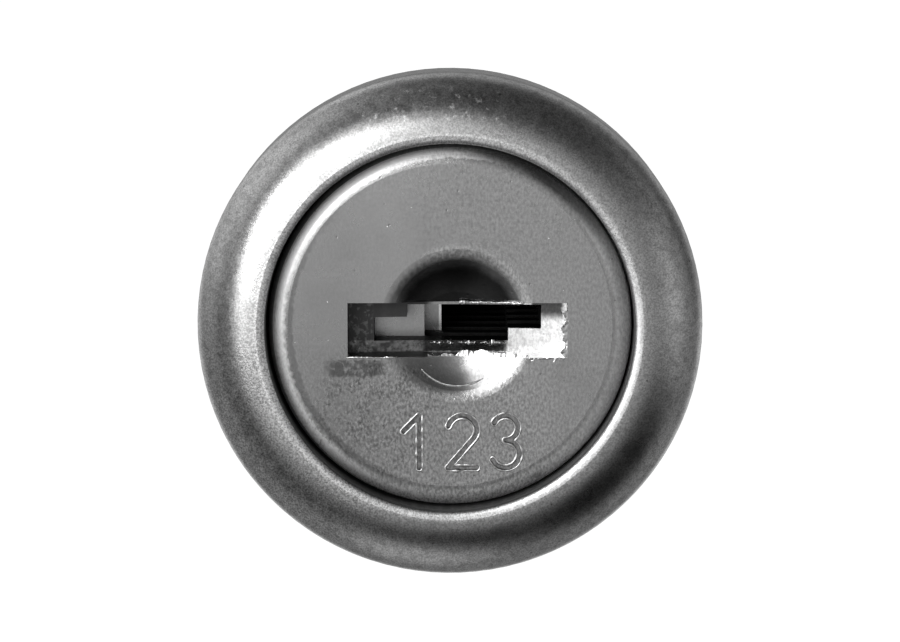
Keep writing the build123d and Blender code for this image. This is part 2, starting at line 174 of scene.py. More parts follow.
def metalFinish(name, look):
    material = bpy.data.materials.new(name)
    material.use_nodes = True
    tree = material.node_tree
    tree.nodes.clear()
    place = addNode(tree, "VectorMath", {0: addNode(tree, "TexCoord", {}).outputs["Object"],
                                         "Scale": 1 / mm}, operation="SCALE").outputs["Vector"]

    # clouds of tarnish between the clean and the dull tone
    clouds = noiseTexture(tree, place, look["cloudSize"], **texture["clouds"])["Fac"]
    tone = mixTone(tree, ease(tree, clouds, *texture["dullRange"], 0, look["dullShare"]),
                   grey(look["clean"]), grey(look["dull"]))
    spread = look["roughnessSpread"]
    roughness = ease(tree, clouds, *texture["roughRange"], look["roughness"] - spread,
                     look["roughness"] + spread)

    # fine grain, drawn out where the surface was brushed
    drawn = addNode(tree, "VectorMath", {0: place, 1: look.get("grainStretch", (1, 1, 1))},
                    operation="MULTIPLY").outputs["Vector"]
    grain = noiseTexture(tree, drawn, look["grainSize"], **texture["grain"])["Fac"]

    # dark pits and bright specks
    pitMask = dotMask(tree, place, look["pitSpacing"], look["pitSize"], texture["pitCore"])
    tone = mixTone(tree, combine(tree, "MULTIPLY", pitMask, look["pitDark"]), tone,
                   grey(look["dull"] * texture["pitTone"]))
    aside = addNode(tree, "VectorMath", {0: place, 1: texture["speckShift"]}).outputs["Vector"]
    speckMask = dotMask(tree, aside, look["speckSpacing"], look["speckSize"],
                        texture["speckCore"])
    tone = mixTone(tree, speckMask, tone, grey(look["speckTone"]))

    # places of their own tone, roughness and grain; many of these tones are painted shade or
    # painted highlight
    grainShare = addNode(tree, "Value", {}).outputs["Value"]
    grainShare.default_value = 1
    for zone in look.get("zones", {}).values():
        mask = zoneMask(tree, place, zone)
        if "shade" in zone:
            tone = mixTone(tree, mask, tone, grey(zone["shade"]), "MULTIPLY")
        if "roughness" in zone:
            roughness = mixTone(tree, mask, roughness, grey(zone["roughness"]))
        if "grain" in zone:
            grainShare = mixTone(tree, mask, grainShare, grey(zone["grain"]))

    grainTone = combine(tree, "MULTIPLY", grainShare, ease(
        tree, grain, *texture["grainRange"], -look["grainTone"], look["grainTone"]))
    tone = mixTone(tree, 1, tone, combine(tree, "ADD", grainTone, 1), "MULTIPLY")

    # surface: soft dents, then grain, then pits and specks
    dents = noiseTexture(tree, place, look["dentSize"], **texture["dents"])["Fac"]
    normal = bump(tree, dents, look["dentDepth"])
    normal = bump(tree, grain, look["grainDepth"], normal, grainShare)
    marks = combine(tree, "SUBTRACT", speckMask, pitMask)
    normal = bump(tree, marks, look["pitDepth"], normal)

    shader = addNode(tree, "BsdfPrincipled", {
        "Base Color": tone, "Metallic": 1, "Roughness": roughness, "Normal": normal})
    addNode(tree, "OutputMaterial", {"Surface": shader.outputs["BSDF"]})
    return material


def dress(material, *nodeNames):
    for nodeName in nodeNames:
        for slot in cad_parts[nodeName].material_slots:
            slot.material = material


# zones: low, high and softness of each measure; first the limits that several of them share
mouthRadius = 8.03
mouthWall = (crest + 0.1, 3, 0.03)
lipDepth = (crest - 1, crest + 0.14, 0.05)
# middle of the painted shade and highlights on the head's bevel
bevelMiddle = (0.145, 0)
dishMiddle = (keyOffset, 0)
pocketUp = (-1.45, 1.1, 0.02)
leftPocket = (face + 0.3, -1.6, 0.1)
rightPocket = (face + 0.1, -1.6, 0.1)

bezelLook = {
    "clean": 0.64, "dull": 0.46, "cloudSize": 2.2, "dullShare": 0.6,
    "grainSize": 0.075, "grainTone": 0.3, "grainDepth": 0.003,
    "pitSpacing": 0.8, "pitSize": 0.08, "pitDark": 0.6, "pitDepth": 0.002,
    "speckSpacing": 0.6, "speckSize": 0.06, "speckTone": 0.7,
    "dentSize": 1.6, "dentDepth": 0.005, "roughness": 0.29, "roughnessSpread": 0.05,
    "zones": {
        # painted shade: the bezel's mouth wall is darkened where the recess lies in shade, most
        # near the crest and on the left
        "wallShade": {"radius": (0, mouthRadius, 0.02), "depth": mouthWall, "shade": 0.5,
                 "roughness": 0.5},
        "wallTopShade": {"radius": (0, mouthRadius, 0.02), "depth": (crest + 0.1, crest + 0.5, 0.1),
                    "shade": 0.45},
        "wallLeftShade": {"radius": (0, mouthRadius, 0.02), "across": (-9, -1.5, 2),
                     "depth": mouthWall, "shade": 0.3},
        # painted shade: the deep gap round the plug is darkened, except on the right
        "gapShade": {"radius": (0, 8.0, 0.02), "across": (-9, 4.5, 1.5), "depth": (face - 0.6, 3, 0.2),
                "shade": 0.3, "roughness": 0.7},
        # painted shade: a darker band on the bezel's slope at the lower right, where its
        # reflection is dark
        "lowerRightShade": {"about": (7.4, -6), "radius": (-1, 4, 2.5), "ring": (8.9, 10.2, 0.35),
                    "shade": 0.6},
        # the lip's roughness and grain are wear; its lighter tone is a painted highlight
        "wornLipHighlight": {"radius": (7.98, 8.45, 0.1), "depth": lipDepth, "shade": 1.25,
                    "roughness": 0.36, "grain": 1.2},
        # painted highlight: the lip at the lower right is lighter and smoother in grain
        "lipHighlight": {"about": (7, -4), "radius": (-1, 6, 2), "ring": (7.98, 8.3, 0.1),
                      "depth": lipDepth, "shade": 1.12, "grain": 0.5},
        "blotches": {"radius": (9.2, 12, 0.5), "patchy": (0.35, 0.48, 0.62), "shade": 0.78},
        # painted shade: the outer bend of the bezel is darkened at the top right
        "shoulderTopShade": {"radius": (10.5, 12, 0.15), "depth": (-6, -3.1, 0.15),
                        "across": (-2.5, 12, 2), "up": (1, 12, 2), "shade": 0.56},
        "smudgesTop": {"radius": (9.2, 10.3, 0.3), "across": (-5, 6, 1.5), "up": (3, 12, 2),
                       "ragged": (0.8, 0.6), "patchy": (0.5, 0.44, 0.6), "shade": 0.78},
        "smudgesLeft": {"radius": (9.3, 10.1, 0.25), "across": (-12, -4, 1.5), "up": (-9, 1, 1.5),
                        "ragged": (0.6, 0.4), "patchy": (0.4, 0.42, 0.58), "shade": 0.7},
        "coarseLeft": {"about": (-7, -5), "radius": (-1, 5, 2), "grain": 1.6},
        "brightScuffs": {"radius": (9.1, 10.5, 0.2), "across": (-4, 2.5, 1), "up": (5, 12, 1),
                         "patchy": (0.25, 0.56, 0.7), "shade": 1.7, "roughness": 0.45},
    }}
faceLook = {
    "clean": 0.405, "dull": 0.33, "cloudSize": 1.6, "dullShare": 0.7,
    "grainSize": 0.1, "grainTone": 0.16, "grainDepth": 0.003, "grainStretch": (1, 1, 0.6),
    "pitSpacing": 0.8, "pitSize": 0.08, "pitDark": 0.5, "pitDepth": 0.003,
    "speckSpacing": 0.7, "speckSize": 0.055, "speckTone": 0.6,
    "dentSize": 1.2, "dentDepth": 0.005, "roughness": 0.25, "roughnessSpread": 0.05,
    "zones": {
        "smoothLeft": {"about": (-4, 2.5), "radius": (-1, 4.5, 2.2), "grain": 0.3},
        "coarseBottom": {"about": (0.5, -5), "radius": (-1, 4, 2), "grain": 2.4},
        # painted light: the face is lighter from the middle to the right side
        "middle": {"across": (-3.8, 12, 1.5), "shade": 1.17},
        "rightHalfLight": {"across": (1.5, 12, 3.5), "shade": 1.13},
        # painted shade and painted highlight on the head's bevel at the left: darker inside,
        # lighter and rougher towards the rim
        "edgeInsideShade": {"about": bevelMiddle, "radius": (7.0, 7.4, 0.06), "across": (-9, -2, 2),
                       "up": (-9, 3.5, 2.5), "ragged": (0.3, 0.25), "shade": 0.68},
        "edgeLeftHighlight": {"about": bevelMiddle, "radius": (7.32, 8.5, 0.06), "across": (-9, 2, 2),
                     "up": (-6, 9, 2), "ragged": (0.3, 0.25), "shade": 1.7, "roughness": 0.42},
        "edgeLeftRimHighlight": {"about": bevelMiddle, "radius": (7.48, 8.5, 0.06), "across": (-9, 0, 2),
                        "up": (-7, 9, 2), "shade": 1.5, "roughness": 0.62},
        # painted highlight: the head's edge at the lower right is lighter, with rougher metal
        "edgeRightHighlight": {"about": (5, -6), "radius": (-1, 10.5, 1.5), "ring": (7.2, 8.5, 0.15),
                      "shade": 1.6, "roughness": 0.55},
        # painted shade: the plug's edge by the gap and the head's side are darkened where they
        # lie in the gap's shade
        "gapShade": {"about": (0.11, -0.07), "radius": (7.82, 9, 0.03), "depth": (face - 1, 3, 0.05),
                "shade": 0.3, "roughness": 0.7},
        "side": {"radius": (7.86, 9, 0.02), "across": (-9, 4, 1), "depth": (face + 0.5, 3, 0.05),
                 "shade": 0.16, "roughness": 0.7},
        # painted shade: the dish's rim at the top right is a little darker; its roughness and
        # coarser grain are the cut's
        "dishRim": {"about": dishMiddle, "radius": (2.5, 3.5, 0.2), "across": (-1, 4, 0.6),
                    "up": (0.6, 4, 0.4), "shade": 0.95, "roughness": 0.42, "grain": 2},
        # painted light: the dish is lighter than the face; its smoother surface and finer grain
        # are the cut's
        "dish": {"about": dishMiddle, "radius": (-1, 3.3, 0.2),
                 "depth": (face + 0.06, -1.9, 0.05), "shade": 1.35, "roughness": 0.22,
                 "grain": 0.5},
        # painted shade: the dish's upper part is nearly black
        "dishTopShade": {"about": dishMiddle, "radius": (-1, 2.65, 0.25),
                    "depth": (face + 0.1, -1.9, 0.05), "up": (0.7, 4, 0.3), "ragged": (0.3, 0.4),
                    "shade": 0.18},
        # painted highlight: the dish's lower right is lighter, with rougher, coarser-grained
        # metal
        "dishHighlight": {"about": (2.1, -1.9), "radius": (-1, 1.2, 0.55),
                     "depth": (face + 0.03, -2.4, 0.05), "ragged": (0.5, 0.5), "shade": 1.35,
                     "roughness": 0.45, "grain": 1.2},
        # painted light: the dish's lower left is a little lighter
        "dishFloorLight": {"about": (-0.4, -1.5), "radius": (-1, 1.0, 0.4),
                      "depth": (face + 0.1, -2.4, 0.05), "shade": 1.1},
        # painted shade: the pocket's left end is darkened, with rougher metal
        "pocketLeftShade": {"across": (-5, -0.9, 0.25), "up": pocketUp, "depth": leftPocket,
                       "shade": 0.22, "roughness": 0.5},
        "pocketStreaks": {"across": (-4.7, -3.4, 0.1), "up": pocketUp, "depth": leftPocket,
                          "patchy": (0.2, 0.5, 0.6), "shade": 2.2},
        # painted light lifts part of that painted shade on the strip below the keyway, in patches
        "stripLeftLight": {"across": (-4.4, -0.9, 0.3), "up": (-1.37, -0.86, 0.04),
                      "depth": leftPocket, "patchy": (0.3, 0.35, 0.6), "shade": 3.2},
        # painted shade: a dark strip along the pocket floor below the keyway
        "pocketStripShade": {"across": (-1.2, 2.45, 0.15), "up": (-1.37, -0.8, 0.02),
                        "depth": (-2.6, -1.6, 0.1), "ragged": (0.12, 0.2), "shade": 0.12},
        # painted light: the pocket's right end is lit up, with smoother, coarser-grained metal
        "pocketRightLight": {"across": (2.5, 5.2, 0.1), "up": pocketUp, "depth": rightPocket,
                        "shade": 1.7, "roughness": 0.36, "grain": 1.5},
        # painted shadow: the top wall's shadow in the pocket's upper right corner
        "pocketCornerShadow": {"across": (3.6, 4.95, 0.1), "up": (0.15, 1.2, 0.25),
                         "depth": rightPocket, "ragged": (0.25, 0.25), "shade": 0.1},
        # painted shade: the keyway and all deeper in it are nearly black, with rough metal
        "keyway": {"about": dishMiddle, "radius": (-1, 5.5, 0.1), "depth": (-1.66, 20, 0.03),
                   "shade": 0.05, "roughness": 0.6},
        # painted shade: the engraved digits' floors are darker
        "number": {"across": (-3, 4, 0.05), "up": (-6.7, -3.6, 0.05),
                   "depth": (face + 0.06, -3, 0.03), "shade": 0.7},
        "stain": {"across": (-5.3, -2.9, 0.25), "up": (-2.2, -1.5, 0.06), "ragged": (0.35, 0.3),
                  "patchy": (0.3, 0.34, 0.5), "shade": 0.45},
        "mottle": {"about": (-3.2, -3.8), "radius": (-1, 2.6, 1.0), "ragged": (1.2, 0.8),
                   "patchy": (0.6, 0.44, 0.6), "shade": 0.86, "grain": 3.4},
        "mottleFine": {"about": (-3.2, -3.8), "radius": (-1, 2.6, 1.0), "ragged": (1.2, 0.8),
                       "patchy": (0.16, 0.42, 0.62), "shade": 0.76},
        "mottleTop": {"about": (1.5, 5.2), "radius": (-1, 3.2, 1.5), "patchy": (0.2, 0.5, 0.6),
                      "shade": 0.86},
    }}
steelLook = {
    "clean": 0.58, "dull": 0.45, "cloudSize": 1.8, "dullShare": 0.5,
    "grainSize": 0.1, "grainTone": 0.06, "grainDepth": 0.002,
    "pitSpacing": 1.2, "pitSize": 0.06, "pitDark": 0.5, "pitDepth": 0.002,
    "speckSpacing": 0.9, "speckSize": 0.05, "speckTone": 0.7,
    "dentSize": 1.5, "dentDepth": 0.004, "roughness": 0.3, "roughnessSpread": 0.06}
nutLook = dict(steelLook, clean=0.66, dull=0.5, roughness=0.24)
springSteelLook = dict(steelLook, clean=0.3, dull=0.2, speckTone=0.4, roughness=0.34)
wireLook = dict(steelLook, clean=0.5, dull=0.36, roughness=0.2)
# the nickel silver is darker than the steel, partly as painted shade for the wafers inside the
# plug; deeper wafers are painted almost black, and one wafer's edge carries a painted highlight
waferLook = dict(steelLook, clean=0.42, dull=0.32, speckTone=0.3, zones={
    "behindShade": {"depth": (3.4, 30, 0.2), "shade": 0.12},
    "waferEdgeHighlight": {"across": (-0.5, -0.38, 0.01), "depth": (1.6, 2.9, 0.05), "shade": 3.4}})
# the burrs' near-white tone is fresh cut metal and partly a painted highlight that stands in for
# their glints
burrLook = dict(faceLook, clean=0.95, dull=0.85, speckTone=0.95, roughness=0.34, zones={})

dress(metalFinish("platedZinc", bezelLook), "housing")
dress(metalFinish("platedZincFace", faceLook), "plug")
dress(metalFinish("zincPlatedSteel", steelLook), "cam", "stop_washer", "cam_screw")
dress(metalFinish("nickelPlatedNut", nutLook), "mounting_nut")
springSteel = metalFinish("springSteel", springSteelLook)
dress(springSteel, "nut_washer", "lock_washer")
dress(metalFinish("nickelSilver", waferLook), "retainer",
      *[f"wafer_{n}" for n in range(1, waferCount + 1)])
springWire = metalFinish("springWire", wireLook)
dress(springWire, "retainer_spring", *[f"wafer_spring_{n}" for n in range(1, waferCount + 1)])
brightBurr = metalFinish("brightBurr", burrLook)
print("finishes on")


# springs: closed end turns, coiled along X and then set in place

spring = {"wire": 0.1, "coils": 6, "stepsPerCoil": 28, "wireSides": 10, "closing": 0.7,
          "smooth": 50}


def coilSpring(name, length, outerRadius):
    wire = spring["wire"] * mm
    travel = length - 2 * wire
    deselectAll()
    bpy.ops.mesh.primitive_circle_add(vertices=spring["wireSides"], radius=wire,
                                      location=(0, outerRadius - wire, 0))
    piece = bpy.context.object
    piece.name = name
    bpy.ops.object.transform_apply(location=True, rotation=True, scale=True)
    coil = piece.modifiers.new("coil", "SCREW")
    coil.axis = "X"
    coil.iterations = spring["coils"]
    coil.screw_offset = travel / spring["coils"]
    coil.steps = spring["stepsPerCoil"]
    coil.render_steps = spring["stepsPerCoil"]
    bpy.ops.object.modifier_apply(modifier="coil")
    # the turns draw together towards both ends
    rings = len(piece.data.vertices) // spring["wireSides"] - 1
    for vertex in piece.data.vertices:
        turn = (vertex.index // spring["wireSides"]) / rings * 2 * math.pi
        vertex.co.x += wire - travel * spring["closing"] * math.sin(turn) / (2 * math.pi)
    bpy.ops.object.mode_set(mode="EDIT")
    bpy.ops.mesh.select_all(action="SELECT")
    bpy.ops.mesh.fill_holes(sides=0)
    bpy.ops.mesh.normals_make_consistent(inside=False)
    bpy.ops.object.mode_set(mode="OBJECT")
    bpy.ops.object.shade_smooth_by_angle(angle=math.radians(spring["smooth"]))
    piece.data.materials.append(springWire)
    return piece


def setInPlace(piece, location, rotation=(0, 0, 0)):
    deselectAll()
    piece.select_set(True)
    bpy.context.view_layer.objects.active = piece
    piece.location = location
    piece.rotation_euler = rotation
    bpy.ops.object.transform_apply(location=True, rotation=True, scale=True)


for n in range(1, waferCount + 1):
    low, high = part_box(f"wafer_spring_{n}")
    middle = (low + high) / 2
    name = f"waferSpring_{n}"
    if n == 1:
        piece = coilSpring(name, high.x - low.x, (high.z - low.z) / 2)
        setInPlace(piece, (low.x, middle.y, middle.z))
        firstSpring = piece
        firstMiddle = middle
    else:
        piece = firstSpring.copy()
        piece.data = firstSpring.data.copy()
        piece.name = name
        bpy.context.scene.collection.objects.link(piece)
        setInPlace(piece, (0, middle.y - firstMiddle.y, 0))
    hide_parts(f"wafer_spring_{n}")
    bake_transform(piece)

low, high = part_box("retainer_spring")
middle = (low + high) / 2
piece = coilSpring("retainerSpring", high.z - low.z, (high.x - low.x) / 2)
setInPlace(piece, (middle.x, middle.y, low.z), (0, -math.pi / 2, 0))
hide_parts("retainer_spring")
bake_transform(piece)
print("springs coiled")


# toothed washers, with each tooth twisted

nutWasher = {"node": "nut_washer", "body": "housing", "teeth": 16, "inner": 8.1, "root": 9.1,
             "sheet": 0.42, "twist": 0.11}
camWasher = {"node": "lock_washer", "body": "plug", "teeth": 12, "inner": 2.1, "root": 4.4,
             "sheet": 0.42, "twist": 0.13}
tooth = {"segments": 9, "slotSegments": 2, "rings": 4, "edge": 0.05, "smooth": 35}


def toothedWasher(name, washer):
    low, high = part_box(washer["node"])
    outer = (high.x - low.x) / 2
    inner = washer["inner"] * mm
    root = washer["root"] * mm
    deselectAll()
    bpy.ops.mesh.primitive_circle_add(
        vertices=washer["teeth"] * tooth["segments"], radius=inner,
        location=(0, (low.y + high.y) / 2, 0), rotation=(math.pi / 2, 0, 0))
    piece = bpy.context.object
    piece.name = name
    bpy.ops.object.transform_apply(location=True, rotation=True, scale=True)
    bpy.ops.object.mode_set(mode="EDIT")
    bpy.ops.mesh.select_all(action="SELECT")
    reached = inner
    steps = [root + (outer - root) * k / tooth["rings"] for k in range(tooth["rings"] + 1)]
    for radius in steps:
        bpy.ops.mesh.extrude_edges_move()
        bpy.ops.transform.resize(value=(radius / reached, 1, radius / reached),
                                 center_override=(0, 0, 0))
        reached = radius
    bpy.ops.mesh.select_mode(type="FACE")
    bpy.ops.mesh.select_all(action="DESELECT")
    bpy.ops.object.mode_set(mode="OBJECT")
    # slots between the teeth
    pitch = 2 * math.pi / washer["teeth"]
    slotHalf = pitch * tooth["slotSegments"] / tooth["segments"] / 2
    for polygon in piece.data.polygons:
        middle = polygon.center
        angle = math.atan2(middle.z, middle.x) % pitch
        inSlot = min(angle, pitch - angle) < slotHalf
        polygon.select = inSlot and math.hypot(middle.x, middle.z) > root
    bpy.ops.object.mode_set(mode="EDIT")
    bpy.ops.mesh.delete(type="FACE")
    bpy.ops.object.mode_set(mode="OBJECT")
    # each tooth leans from one side of the sheet to the other
    for vertex in piece.data.vertices:
        radius = math.hypot(vertex.co.x, vertex.co.z)
        offset = (math.atan2(vertex.co.z, vertex.co.x) % pitch) / pitch * 2 - 1
        out = max(0, (radius - root) / (outer - root))
        vertex.co.y += washer["twist"] * mm * offset * min(1, 2 * out)
    sheet = piece.modifiers.new("sheet", "SOLIDIFY")
    sheet.thickness = washer["sheet"] * mm
    sheet.offset = 0
    edge = piece.modifiers.new("edge", "BEVEL")
    edge.width = tooth["edge"] * mm
    edge.segments = 2
    edge.limit_method = "ANGLE"
    for modifier in ("sheet", "edge"):
        bpy.ops.object.modifier_apply(modifier=modifier)
    bpy.ops.object.mode_set(mode="EDIT")
    bpy.ops.mesh.select_all(action="SELECT")
    bpy.ops.mesh.normals_make_consistent(inside=False)
    bpy.ops.object.mode_set(mode="OBJECT")
    bpy.ops.object.shade_smooth_by_angle(angle=math.radians(tooth["smooth"]))
    piece.data.materials.append(springSteel)
    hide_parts(washer["node"])
    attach(piece, washer["body"])


toothedWasher("nutToothedWasher", nutWasher)
toothedWasher("camToothedWasher", camWasher)
print("toothed washers made")


# burrs that the cutters left along the plug's edges

# limits of the edges that carry them
lipEdge = (-1.42, -1.38)
inFace = (face - 0.01, face + 0.01)
faceToFloor = (face - 0.01, -2.6)

burrs = {
    # thickness, flatness, raggedness and its size; the edges that carry the burr
    "numberBurr": {"radius": 0.045, "flat": 0.45, "ragged": 0.5, "grain": 0.25, "crumble": 0,
                   "shift": (0, 0, 0), "across": (-3, 4), "depth": inFace, "up": (-6.8, -3.6)},
    "pocketLipBurr": {"radius": 0.035, "flat": 0.8, "ragged": 0.7, "grain": 0.5, "crumble": 0.5,
                      "shift": (0, 0, 0.02), "across": (-4.5, -2.3), "depth": faceToFloor,
                      "up": lipEdge},
    "pocketTopBurr": {"radius": 0.045, "flat": 0.8, "ragged": 0.7, "grain": 0.4, "crumble": 0.6,
                      "shift": (0, 0, -0.02), "across": (0.4, 3.2), "depth": faceToFloor,
                      "up": (0.98, 1.02)},
    "keywayBurr": {"radius": 0.07, "flat": 1, "ragged": 0.9, "grain": 0.25, "crumble": 0.8,
                   "shift": (0, 0, -0.09), "across": (-0.9, 2.56), "depth": (-2, -1.6),
                   "up": (-0.96, -0.88)},
}
ribbons = {
    # width and its raggedness, the way it stands; the edges that carry it
    "dishLipRibbon": {"width": 0.16, "ragged": 1.1, "grain": 0.35, "crumble": 0.025,
                      "way": (0, 0.15, 1), "across": (-1, 0.9), "depth": faceToFloor,
                      "up": lipEdge},
    "dishLipHeavyRibbon": {"width": 0.2, "ragged": 0.35, "grain": 0.5, "crumble": 0.03,
                           "way": (0, 0.15, 1), "across": (0.65, 3.4), "depth": faceToFloor,
                           "up": lipEdge},
    "pocketCornerRibbon": {"width": 0.13, "ragged": 0.9, "grain": 0.3, "crumble": 0.06,
                           "way": (0, 0.1, -1), "across": (3.2, 5), "depth": inFace,
                           "up": lipEdge},
    "pocketEndRibbon": {"width": 0.2, "ragged": 0.6, "grain": 0.3, "crumble": 0.04,
                        "way": (-1, -0.1, 0), "across": (5.1, 5.12), "depth": inFace,
                        "up": (-1.4, 0.7)},
}
ribbonRows = 4
ribbonSheet = 0.03
crumbSize = 0.09
burrStep = 0.05
thinnestBurr = 0.15         # shares of the full thickness and width
narrowestRibbon = 0.1
sharpEdge = math.radians(15)
smoothBurr = math.radians(60)
weldGap = 0.001


def edgeLine(name, burr):
    # the plug's sharp edges within the burr's limits, as a line of close points
    deselectAll()
    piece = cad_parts["plug"].copy()
    piece.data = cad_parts["plug"].data.copy()
    piece.name = name
    bpy.context.scene.collection.objects.link(piece)
    piece.select_set(True)
    bpy.context.view_layer.objects.active = piece
    bpy.ops.object.mode_set(mode="EDIT")
    bpy.ops.mesh.select_mode(type="EDGE")
    bpy.ops.mesh.select_all(action="SELECT")
    bpy.ops.mesh.remove_doubles(threshold=weldGap * mm)
    bpy.ops.mesh.select_all(action="DESELECT")
    bpy.ops.mesh.edges_select_sharp(sharpness=sharpEdge)
    bpy.ops.object.mode_set(mode="OBJECT")
    # those that reach into the limits
    limits = (burr["across"], burr["depth"], burr["up"])
    for edge in piece.data.edges:
        a, b = [piece.data.vertices[v].co / mm for v in edge.vertices]
        edge.select = edge.select and all(
            min(a[axis], b[axis]) <= high and max(a[axis], b[axis]) >= low
            for axis, (low, high) in enumerate(limits))
    bpy.ops.object.mode_set(mode="EDIT")
    bpy.ops.mesh.duplicate()
    bpy.ops.mesh.select_all(action="INVERT")
    bpy.ops.mesh.delete(type="VERT")
    # points close enough together for a ragged line
    longest = 1
    while longest > burrStep * mm:
        bpy.ops.object.mode_set(mode="OBJECT")
        longest = 0
        for edge in piece.data.edges:
            a, b = [piece.data.vertices[v].co for v in edge.vertices]
            edge.select = (a - b).length > burrStep * mm
            longest = max(longest, (a - b).length)
        bpy.ops.object.mode_set(mode="EDIT")
        bpy.ops.mesh.subdivide(number_cuts=1)
        bpy.ops.mesh.select_all(action="DESELECT")
    # and only what is inside the limits
    bpy.ops.mesh.select_mode(type="VERT")
    bpy.ops.object.mode_set(mode="OBJECT")
    for vertex in piece.data.vertices:
        vertex.select = not all(
            low <= vertex.co[axis] / mm <= high for axis, (low, high) in enumerate(limits))
    bpy.ops.object.mode_set(mode="EDIT")
    bpy.ops.mesh.delete(type="VERT")
    bpy.ops.object.mode_set(mode="OBJECT")
    return piece


def coatBurr(piece):
    bpy.ops.object.shade_smooth_by_angle(angle=smoothBurr)
    piece.data.materials.clear()
    piece.data.materials.append(brightBurr)
    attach(piece, "plug")


def closeBurr(piece):
    bpy.ops.mesh.normals_make_consistent(inside=False)
    bpy.ops.object.mode_set(mode="OBJECT")
    coatBurr(piece)


def roundLine(line, thickness):
    # a round bar along a line whose points carry their own share of the thickness
    line.data.bevel_depth = thickness * mm
    line.data.bevel_resolution = 2
    line.data.use_fill_caps = True
    bpy.ops.object.convert(target="MESH")
    return bpy.context.object


def edgeBurr(name, burr):
    piece = edgeLine(name, burr)
    bpy.ops.object.convert(target="CURVE")
    piece = bpy.context.object
    for spline in piece.data.splines:
        for point in spline.points:
            wobble = noise.noise(point.co.xyz / (burr["grain"] * mm))
            point.radius = max(thinnestBurr, 1 + 2 * burr["ragged"] * wobble)
    piece = roundLine(piece, burr["radius"])
    bpy.ops.object.mode_set(mode="EDIT")
    bpy.ops.mesh.select_all(action="SELECT")
    bpy.ops.mesh.remove_doubles(threshold=weldGap * mm)
    bpy.ops.object.mode_set(mode="OBJECT")
    for vertex in piece.data.vertices:
        crumb = noise.noise_vector(vertex.co / (crumbSize * mm))
        vertex.co += crumb * burr["crumble"] * burr["radius"] * mm
    bpy.ops.object.mode_set(mode="EDIT")
    bpy.ops.mesh.select_all(action="SELECT")
    if burr["flat"] < 1:
        bpy.ops.transform.resize(value=(1, burr["flat"], 1), center_override=(0, face * mm, 0))
    bpy.ops.transform.translate(value=Vector(burr["shift"]) * mm)
    closeBurr(piece)


def ragRibbon(name, ribbon):
    piece = edgeLine(name, ribbon)
    way = Vector(ribbon["way"]).normalized() * ribbon["width"] * mm
    main = max(range(3), key=lambda axis: abs(way[axis]))
    start = piece.data.vertices[0].co[main]
    bpy.ops.object.mode_set(mode="EDIT")
    bpy.ops.mesh.select_all(action="SELECT")
    for row in range(ribbonRows):
        bpy.ops.mesh.extrude_edges_move(TRANSFORM_OT_translate={"value": way / ribbonRows})
    bpy.ops.object.mode_set(mode="OBJECT")
    for vertex in piece.data.vertices:
        row = (vertex.co[main] - start) / way[main]
        foot = vertex.co - row * way
        wobble = noise.noise(foot / (ribbon["grain"] * mm))
        width = max(narrowestRibbon, 1 + 2 * ribbon["ragged"] * wobble)
        crumb = noise.noise_vector(vertex.co / (crumbSize * mm)) * ribbon["crumble"] * mm
        vertex.co = foot + row * width * way + crumb * min(1, 2 * row)
    sheet = piece.modifiers.new("sheet", "SOLIDIFY")
    sheet.thickness = ribbonSheet * mm
    sheet.offset = 0
    bpy.ops.object.modifier_apply(modifier="sheet")
    bpy.ops.object.mode_set(mode="EDIT")
    bpy.ops.mesh.select_all(action="SELECT")
    closeBurr(piece)


for name, burr in burrs.items():
    edgeBurr(name, burr)
for name, ribbon in ribbons.items():
    ragRibbon(name, ribbon)

# raised line between the two passes that cut the dish
dishLine = {
    "dishRadius": 3.1, "dishDepth": 0.66, "ringRadius": 2.05, "ringDrop": 0.63, "thickness": 0.06,
    "fromAngle": 219, "toAngle": 304, "steps": 90, "ragged": 0.3, "grain": 0.3, "thinnest": 0.1}


def dishRidge():
    look = dishLine
    ball = (look["dishRadius"]**2 + look["dishDepth"]**2) / (2 * look["dishDepth"])
    tilt = math.asin(look["ringDrop"] / ball)
    reach = math.sqrt(ball**2 - look["ringRadius"]**2)
    centre = Vector((keyOffset, face + look["dishDepth"] - ball + reach * math.cos(tilt),
                     -reach * math.sin(tilt)))
    deselectAll()
    bpy.ops.mesh.primitive_circle_add(
        vertices=4 * look["steps"], radius=look["ringRadius"] * mm, location=centre * mm,
        rotation=(math.pi / 2 - tilt, 0, 0))
    piece = bpy.context.object
    piece.name = "dishRidge"
    bpy.ops.object.transform_apply(location=True, rotation=True, scale=True)

    def share(point):
        # 0 to 1 along the kept stretch
        angle = math.degrees(math.atan2(point.z / mm - centre.z, point.x / mm - centre.x)) % 360
        return (angle - look["fromAngle"]) / (look["toAngle"] - look["fromAngle"])

    bpy.ops.object.mode_set(mode="EDIT")
    bpy.ops.mesh.select_all(action="DESELECT")
    bpy.ops.object.mode_set(mode="OBJECT")
    for vertex in piece.data.vertices:
        vertex.select = not 0 <= share(vertex.co) <= 1
    bpy.ops.object.mode_set(mode="EDIT")
    bpy.ops.mesh.select_mode(type="VERT")
    bpy.ops.mesh.delete(type="VERT")
    bpy.ops.object.mode_set(mode="OBJECT")
    bpy.ops.object.convert(target="CURVE")
    piece = bpy.context.object
    for spline in piece.data.splines:
        for point in spline.points:
            taper = math.sin(math.pi * min(1, max(0, share(point.co))))
            wobble = noise.noise(point.co.xyz / (look["grain"] * mm))
            point.radius = max(look["thinnest"], taper**0.5 * (1 + look["ragged"] * wobble))
    coatBurr(roundLine(piece, look["thickness"]))


dishRidge()
print("burrs raised")


# stage: pale floor, white surroundings, and round the lock a tent of grey and black paper with a
# soft lamp inside; the tent shows only in the metal's reflections

